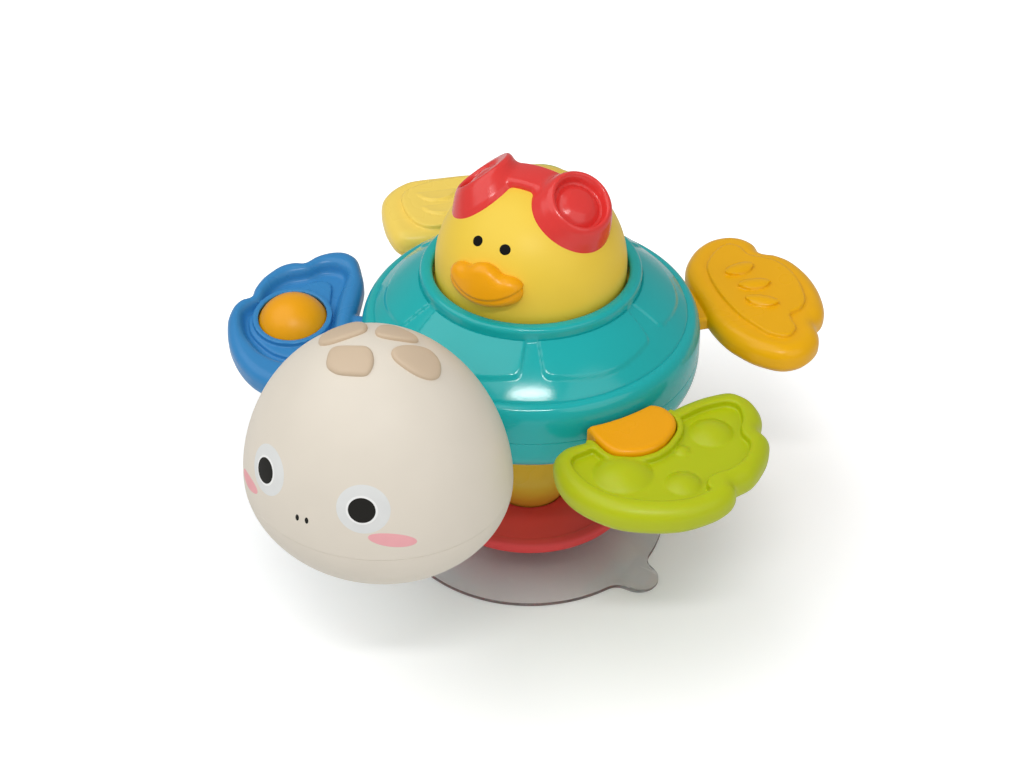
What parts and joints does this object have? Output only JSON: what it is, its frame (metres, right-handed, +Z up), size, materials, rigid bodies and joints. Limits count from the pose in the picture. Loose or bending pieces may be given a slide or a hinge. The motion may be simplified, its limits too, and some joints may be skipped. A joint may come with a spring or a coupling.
{
  "type": "suction cup turtle toy",
  "caption": "Turtle toy that spins on a suction cup: sprung duck button in its shell, tipping egg-shaped head, hinged flippers and a ball that rolls in a flipper.",
  "frame": {"origin": "on the spin axis, in the plane of the suction cup rim that meets the table", "axes": "+Z up along the spin axis, -Y the way the head looks, +X to the side of the green flipper"},
  "size_m": [0.1837, 0.2069, 0.1406],
  "materials": {
    "clear_vinyl": "clear, glossy",
    "red_plastic": "smooth gloss",
    "yellow_plastic": "smooth gloss",
    "teal_plastic": "smooth gloss",
    "cream_plastic": "satin",
    "tan_plastic": "satin",
    "orange_plastic": "smooth gloss",
    "blue_plastic": "smooth gloss",
    "lime_silicone": "soft satin",
    "lime_plastic": "smooth gloss",
    "white_plastic": "as moulded",
    "steel": "zinc plated"
  },
  "bodies": {
    "foot": {"suction_cup": "clear_vinyl", "foot_plate": "red_plastic"},
    "turtle": {"swivel_stem": "yellow_plastic", "swivel_washer": "steel", "swivel_screw": "steel", "stem_screw_1": "steel", "stem_screw_2": "steel", "stem_screw_3": "steel", "lower_shell": "teal_plastic", "upper_shell": "teal_plastic", "shell_screw_1": "steel", "shell_screw_2": "steel", "shell_screw_3": "steel", "shell_screw_4": "steel", "shell_screw_5": "steel", "green_hinge_pin": "steel", "orange_hinge_pin": "steel", "yellow_hinge_pin": "steel", "return_spring": "steel"},
    "duck": {"duck_dome": "yellow_plastic", "duck_beak": "orange_plastic", "duck_goggles": "red_plastic", "duck_guide": "white_plastic"},
    "head": {"head_crown": "cream_plastic", "head_chin": "cream_plastic", "crown_patch_1": "tan_plastic", "crown_patch_2": "tan_plastic", "crown_patch_3": "tan_plastic", "crown_patch_4": "tan_plastic"},
    "blue": {"blue_flipper": "blue_plastic", "ball_axle": "steel"},
    "ball": {"roller_ball": "orange_plastic"},
    "green": {"green_flipper": "lime_silicone", "green_clip": "orange_plastic"},
    "orange": {"orange_flipper": "orange_plastic"},
    "yellow": {"yellow_flipper": "yellow_plastic", "spinner_rivet": "steel"},
    "spinner": {"lime_spinner": "lime_plastic"}
  },
  "joints": [
    {"name": "turtle_spin", "type": "hinge", "parent": "foot", "child": "turtle", "pos_m": [0, 0, 0.02], "axis": [0, 0, 1], "continuous": true},
    {"name": "duck_press", "type": "slide", "parent": "turtle", "child": "duck", "axis": [0, 0, -1], "range_m": [0, 0.0025], "stiffness_N_per_m": 600, "springref_m": -0.0025, "deforming": ["return_spring"]},
    {"name": "head_tip", "type": "hinge", "parent": "turtle", "child": "head", "pos_m": [0, -0.06, 0.076], "axis": [0, -1, 0], "range_deg": [-25, 25]},
    {"name": "blue_turn", "type": "hinge", "parent": "turtle", "child": "blue", "pos_m": [-0.05438, -0.02536, 0.076], "axis": [-0.9063, -0.4226, 0], "continuous": true},
    {"name": "ball_spin", "type": "hinge", "parent": "blue", "child": "ball", "pos_m": [-0.07088, -0.03257, 0.07323], "axis": [0.4174, -0.8951, -0.1564], "continuous": true},
    {"name": "green_flap", "type": "hinge", "parent": "turtle", "child": "green", "pos_m": [0.0405, -0.02181, 0.076], "axis": [-0.4741, -0.8805, 0], "range_deg": [-12, 12]},
    {"name": "orange_flap", "type": "hinge", "parent": "turtle", "child": "orange", "pos_m": [0.03137, 0.03364, 0.076], "axis": [0.7314, -0.682, 0], "range_deg": [-12, 12]},
    {"name": "yellow_flap", "type": "hinge", "parent": "turtle", "child": "yellow", "pos_m": [-0.03137, 0.03364, 0.076], "axis": [0.7314, 0.682, 0], "range_deg": [-12, 12]},
    {"name": "spinner_spin", "type": "hinge", "parent": "yellow", "child": "spinner", "pos_m": [-0.03767, 0.07016, 0.083], "axis": [0, 0, 1], "continuous": true}
  ]
}
